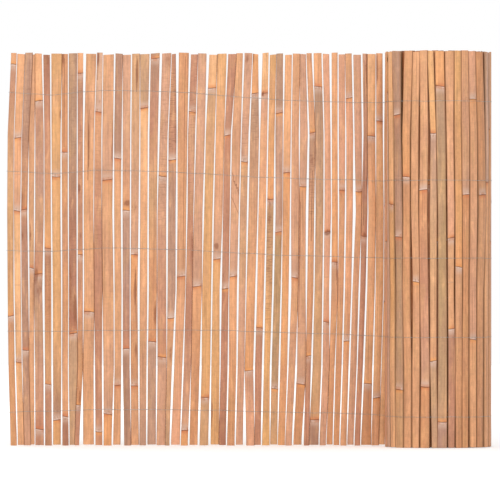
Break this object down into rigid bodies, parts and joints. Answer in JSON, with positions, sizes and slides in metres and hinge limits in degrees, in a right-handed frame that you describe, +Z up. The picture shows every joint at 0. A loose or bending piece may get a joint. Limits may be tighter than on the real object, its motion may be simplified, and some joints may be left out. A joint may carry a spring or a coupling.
{
  "type": "split bamboo screen fence",
  "caption": "Garden screen fence of upright split bamboo slats on five binding wires, part of it opened flat and the rest standing as a roll.",
  "frame": {"origin": "middle of the footprint of the whole fence, on the surface that the slats stand on", "axes": "+X along the flat mat towards the roll, +Y to the back of the fence, +Z up"},
  "size_m": [1.2317, 0.2772, 1],
  "materials": {
    "bamboo_slats": "split bamboo, smooth skin with pale bloom at the joints, satin",
    "rolled_bamboo": "split bamboo, smooth skin, satin",
    "binding_wire": "thin galvanised wire, dull grey"
  },
  "bodies": {
    "root": {"slat_01": "bamboo_slats", "slat_02": "bamboo_slats", "slat_03": "bamboo_slats", "slat_04": "bamboo_slats", "slat_05": "bamboo_slats", "slat_06": "bamboo_slats", "slat_07": "bamboo_slats", "slat_08": "bamboo_slats", "slat_09": "bamboo_slats", "slat_10": "bamboo_slats", "slat_11": "bamboo_slats", "slat_12": "bamboo_slats", "slat_13": "bamboo_slats", "slat_14": "bamboo_slats", "slat_15": "bamboo_slats", "slat_16": "bamboo_slats", "slat_17": "bamboo_slats", "slat_18": "bamboo_slats", "slat_19": "bamboo_slats", "slat_20": "bamboo_slats", "slat_21": "bamboo_slats", "slat_22": "bamboo_slats", "slat_23": "bamboo_slats", "slat_24": "bamboo_slats", "slat_25": "bamboo_slats", "slat_26": "bamboo_slats", "slat_27": "bamboo_slats", "slat_28": "bamboo_slats", "slat_29": "bamboo_slats", "slat_30": "bamboo_slats", "slat_31": "bamboo_slats", "slat_32": "bamboo_slats", "slat_33": "bamboo_slats", "slat_34": "bamboo_slats", "slat_35": "bamboo_slats", "slat_36": "bamboo_slats", "slat_37": "bamboo_slats", "slat_38": "bamboo_slats", "slat_39": "bamboo_slats", "slat_40": "bamboo_slats", "slat_41": "bamboo_slats", "slat_42": "bamboo_slats", "slat_43": "bamboo_slats", "slat_44": "bamboo_slats", "slat_45": "bamboo_slats", "slat_46": "bamboo_slats", "rolled_mat": "rolled_bamboo", "binding_wire_1": "binding_wire", "binding_wire_2": "binding_wire", "binding_wire_3": "binding_wire", "binding_wire_4": "binding_wire", "binding_wire_5": "binding_wire"}
  },
  "joints": []
}
